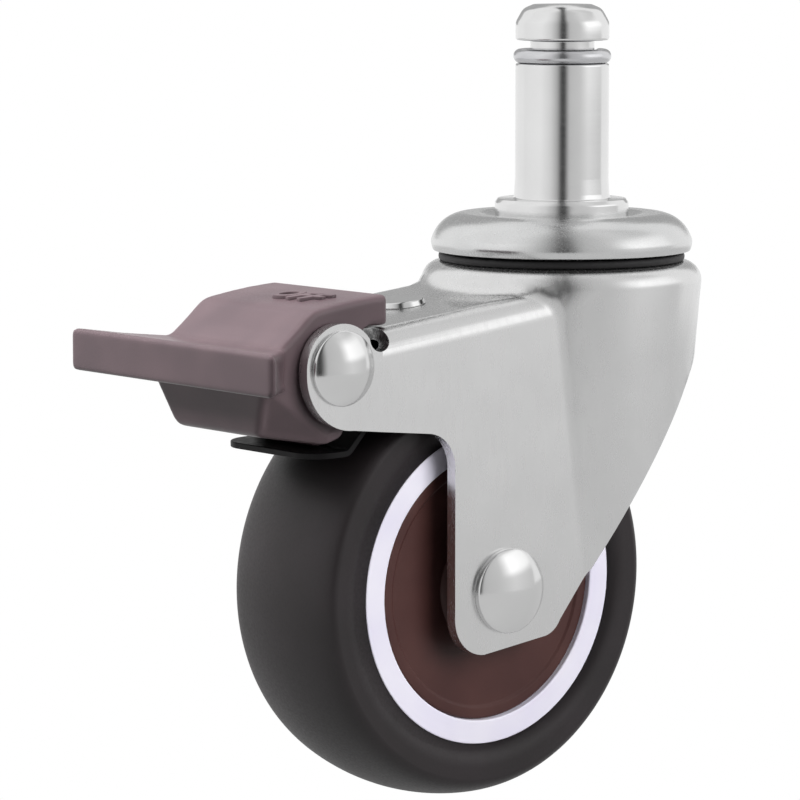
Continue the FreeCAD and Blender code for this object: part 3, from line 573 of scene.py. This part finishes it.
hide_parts("brake_lever")

# Letters: OFF stands on the hood, raised from the same moulding, and reads from the paddle's
# side.

LETTER_SIZE, LETTER_RISE, LETTER_BOLD, LETTER_EDGE = 4.3, 0.26, 0.1, 0.07
LETTER_SLANT = 0.3
WORD_X, WORD_Y, WORD_Z = -41.1, -2.0, -9.17
# rise of the hood's top for each millimetre towards +X
HOOD_SLOPE = 0.115

text = bpy.data.curves.new("off", "FONT")
text.body, text.size, text.extrude = "OFF", LETTER_SIZE * MM, LETTER_RISE * MM
text.offset = LETTER_BOLD * MM
text.bevel_depth, text.bevel_resolution = LETTER_EDGE * MM, 2
text.align_x, text.align_y, text.shear = "CENTER", "CENTER", LETTER_SLANT
carrier = bpy.data.objects.new("off_text", text)
bpy.context.scene.collection.objects.link(carrier)
bpy.context.view_layer.update()
graph = bpy.context.evaluated_depsgraph_get()
word = bpy.data.meshes.new_from_object(carrier.evaluated_get(graph))
bpy.data.objects.remove(carrier)
co = np.zeros(len(word.vertices) * 3)
word.vertices.foreach_get("co", co)
co = co.reshape(-1, 3)
# laid on the hood: letters run towards -Y, stand towards +X, and follow the hood's fall
x = WORD_X * MM + co[:, 1]
y = WORD_Y * MM - co[:, 0]
z = WORD_Z * MM + HOOD_SLOPE * (x - WORD_X * MM) + co[:, 2]
word.vertices.foreach_set("co", np.stack([x, y, z], axis=1).ravel())
word.name = "off_letters"
letters = bpy.data.objects.new("off_letters", word)
bpy.context.scene.collection.objects.link(letters)
letters.data.materials.append(pedal_nylon)
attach(letters, "lever_body")

# Studio: a white floor, soft lights round the object, and cards that only polished metal sees. The
# dark parts of the cards draw the dark edges on the stem and the cap. Lengths here are in metres.

FLOOR_Z, FLOOR_HALF = -68.3 * MM, 3


def board(name, verts, faces, material):
    """Sheet of the studio, from corners in metres."""
    mesh = bpy.data.meshes.new(name)
    mesh.from_pydata(np.asarray(verts, float).tolist(), [], np.asarray(faces).tolist())
    mesh.materials.append(material)
    made = bpy.data.objects.new(name, mesh)
    bpy.context.scene.collection.objects.link(made)
    return made


def bare(name):
    """New material with an empty tree."""
    made = bpy.data.materials.new(name)
    made.use_nodes = True
    made.node_tree.nodes.clear()
    return made, made.node_tree


paper, tree = bare("white_paper")
seen = add(tree, "ShaderNodeLightPath")
matt = add(tree, "ShaderNodeBsdfDiffuse", {"Color": (0.12, 0.12, 0.12, 1)})
lift = add(tree, "ShaderNodeEmission", {"Color": (1, 1, 1, 1), "Strength": 1.0})
# the paper is pure white to the camera, and greyer near the wheel to polished metal
place = add(tree, "ShaderNodeTexCoord").outputs["Object"]
away = add(tree, "ShaderNodeVectorMath", {0: place}, operation="LENGTH")
dulled = add(tree, "ShaderNodeMapRange",
             {"Value": away.outputs["Value"], "From Min": 0.3, "From Max": 0.5,
              "To Min": 0.6, "To Max": 1.0})
mirrored = add(tree, "ShaderNodeMath", {0: seen.outputs["Is Glossy Ray"], 1: dulled.outputs[0]},
               operation="MULTIPLY")
view = add(tree, "ShaderNodeMath", {0: seen.outputs["Is Camera Ray"], 1: mirrored.outputs[0]},
           operation="MAXIMUM")
both = add(tree, "ShaderNodeMixShader",
           {0: view.outputs[0], 1: matt.outputs[0], 2: lift.outputs[0]})
add(tree, "ShaderNodeOutputMaterial", {"Surface": both.outputs[0]})
floor = board("floor", [(-FLOOR_HALF, -FLOOR_HALF, FLOOR_Z), (FLOOR_HALF, -FLOOR_HALF, FLOOR_Z),
                        (FLOOR_HALF, FLOOR_HALF, FLOOR_Z), (-FLOOR_HALF, FLOOR_HALF, FLOOR_Z)],
              [(0, 1, 2, 3)], paper)

# the world is white wherever it is seen or mirrored, and lights the object only weakly
world = bpy.data.worlds.new("studio")
bpy.context.scene.world = world
world.use_nodes = True
tree = world.node_tree
tree.nodes.clear()
seen = add(tree, "ShaderNodeLightPath")
direct = add(tree, "ShaderNodeMath",
             {0: seen.outputs["Is Camera Ray"], 1: seen.outputs["Is Transmission Ray"]},
             operation="MAXIMUM")
any_view = add(tree, "ShaderNodeMath", {0: direct.outputs[0], 1: seen.outputs["Is Glossy Ray"]},
               operation="MAXIMUM")
level = add(tree, "ShaderNodeMapRange",
            {"Value": any_view.outputs[0], "To Min": 0.11, "To Max": 1.0})
sky = add(tree, "ShaderNodeBackground", {"Color": (1, 1, 1, 1), "Strength": level.outputs[0]})
add(tree, "ShaderNodeOutputWorld", {"Surface": sky.outputs[0]})


def lamp(name, place, aim, size, watts, mirrored=False):
    """Square soft light of that size, facing its aim. Polished metal sees it if mirrored."""
    light = bpy.data.lights.new(name, "AREA")
    light.size, light.energy = size, watts
    made = bpy.data.objects.new(name, light)
    bpy.context.scene.collection.objects.link(made)
    made.location = place
    made.rotation_euler = (Vector(aim) - Vector(place)).to_track_quat("-Z", "Y").to_euler()
    made.visible_glossy = mirrored


middle = (-0.015, 0, -0.03)
lamp("top", (-0.1, 0.1, 0.95), middle, 0.6, 17.0)
lamp("key", (-0.65, 0.3, 0.68), middle, 0.4, 3.0, mirrored=True)
lamp("fill", (0.25, -0.8, 0.3), middle, 0.6, 7.6)
lamp("side", (-0.2, 0.13, 0.1), (-0.057, 0.012, -0.015), 0.06, 0.62)


def curved_board(name, rail, rows, material):
    """Board that follows a rail of (x, y) points, with corners at each (scale, height) row."""
    count = len(rail)
    verts = np.vstack([np.column_stack([rail * scale, np.full(count, height)])
                       for scale, height in rows])
    k = np.concatenate([np.arange(count - 1) + row * count for row in range(len(rows) - 1)])
    faces = np.stack([k, k + 1, k + count + 1, k + count], axis=1)
    return board(name, verts, faces, material)


def only_mirrored(made):
    """Leaves a board to mirrored rays alone."""
    made.visible_camera = made.visible_diffuse = made.visible_shadow = False


# one tall curved card stands behind the camera, with a roof that leans in to a peak. It is pale
# at its ends and near black in its middle, which draws the narrow dark line on the stem and cap.
CARD_R, CARD_TOP, CARD_PEAK, PEAK_SHARE = 0.22, 0.5, 0.75, 0.02
CARD_MIDDLE, CARD_SPREAD = math.radians(-129.3), 1.9
WINDOW_RIGHT, WINDOW_LOW, WINDOW_HIGH, WINDOW_POWER = (0.7, 0.78), (0.0, 0.03), (0.2, 0.12), 1.7
graded, tree = bare("graded_card")
place = add(tree, "ShaderNodeTexCoord").outputs["Object"]
turn = add(tree, "ShaderNodeVectorRotate", {"Vector": place, "Angle": -CARD_MIDDLE},
           rotation_type="Z_AXIS")
part = add(tree, "ShaderNodeSeparateXYZ", {"Vector": turn.outputs[0]})
angle = add(tree, "ShaderNodeMath", {0: part.outputs[1], 1: part.outputs[0]},
            operation="ARCTAN2")
scale = add(tree, "ShaderNodeMapRange",
            {"Value": angle.outputs[0], "From Min": -CARD_SPREAD, "From Max": CARD_SPREAD})
ramp = add(tree, "ShaderNodeValToRGB", {"Fac": scale.outputs[0]})
stops = [(0.0, 0.95), (0.25, 1.0), (0.36, 0.82), (0.44, 0.48), (0.48, 0.06), (0.52, 0.06),
         (0.57, 0.64), (0.68, 0.7), (0.8, 0.86), (1.0, 0.7)]
while len(ramp.color_ramp.elements) < len(stops):
    ramp.color_ramp.elements.new(0.5)
for stop, (at, tone) in zip(ramp.color_ramp.elements, stops):
    stop.position, stop.color = at, (tone, tone, tone, 1)


def fade(value, ends):
    """Rises from 0 to 1 as the value goes from the first end to the second."""
    made = add(tree, "ShaderNodeMapRange",
               {"Value": value, "From Min": ends[0], "From Max": ends[1]})
    return made.outputs[0]


# a brighter window on its right end gives the domes and the arm's bend their highlight
right = fade(scale.outputs[0], WINDOW_RIGHT)
low, high = fade(part.outputs[2], WINDOW_LOW), fade(part.outputs[2], WINDOW_HIGH)
band = add(tree, "ShaderNodeMath", {0: low, 1: high}, operation="MULTIPLY")
window = add(tree, "ShaderNodeMath", {0: right, 1: band.outputs[0]}, operation="MULTIPLY")
power = add(tree, "ShaderNodeMapRange",
            {"Value": window.outputs[0], "To Min": 1.0, "To Max": WINDOW_POWER})
glow = add(tree, "ShaderNodeEmission", {"Color": ramp.outputs[0], "Strength": power.outputs[0]})
add(tree, "ShaderNodeOutputMaterial", {"Surface": glow.outputs[0]})
sweep = CARD_MIDDLE + np.linspace(-CARD_SPREAD, CARD_SPREAD, 60)
rail = np.stack([CARD_R * np.cos(sweep), CARD_R * np.sin(sweep)], axis=1)
card = curved_board("card", rail, [(1, FLOOR_Z), (1, CARD_TOP), (PEAK_SHARE, CARD_PEAK)], graded)
only_mirrored(card)


def even_glow(name, tone):
    """Material that glows with one grey tone all over."""
    made, tree = bare(name)
    dim = add(tree, "ShaderNodeEmission", {"Color": (tone, tone, tone, 1), "Strength": 1.0})
    add(tree, "ShaderNodeOutputMaterial", {"Surface": dim.outputs[0]})
    return made


# a low grey card behind the object is all that the arm's top reflects
BACK_R, BACK_FROM, BACK_TO, BACK_LOW, BACK_HIGH = 0.3, 20, 85, 0.025, 0.3
back_sweep = np.radians(np.linspace(BACK_FROM, BACK_TO, 24))
back_rail = BACK_R * np.stack([np.cos(back_sweep), np.sin(back_sweep)], axis=1)
back_card = curved_board("back_card", back_rail, [(1, BACK_LOW), (1, BACK_HIGH)],
                         even_glow("grey_card", 0.45))
only_mirrored(back_card)

# a dark bar overhead runs on from the card's dark line, and carries it over the crowns of the cap
# and the stem's tip
BAR_HALF, BAR_Z, BAR_ENDS = 0.03, 0.45, (0.2, -0.35)
heading = np.array([math.cos(CARD_MIDDLE), math.sin(CARD_MIDDLE), 0])
across = np.array([-heading[1], heading[0], 0]) * BAR_HALF
near_end, far_end = (heading * reach + [0, 0, BAR_Z] for reach in BAR_ENDS)
bar = board("dark_bar", [near_end - across, near_end + across, far_end + across, far_end - across],
            [(0, 1, 2, 3)], even_glow("dark_cloth", 0.06))
only_mirrored(bar)

# the camera stands where the photograph's perspective puts it, 0.48 m from the stem
eye = bpy.data.cameras.new("camera")
eye.lens, eye.sensor_width = 183.53, 36
camera = bpy.data.objects.new("camera", eye)
bpy.context.scene.collection.objects.link(camera)
camera.location = (-0.31876, -0.35887, 0.03296)
camera.rotation_euler = Vector((0.6295, 0.7680, -0.1179)).to_track_quat("-Z", "Y").to_euler()
bpy.context.scene.camera = camera
bpy.context.scene.view_settings.view_transform = "Standard"
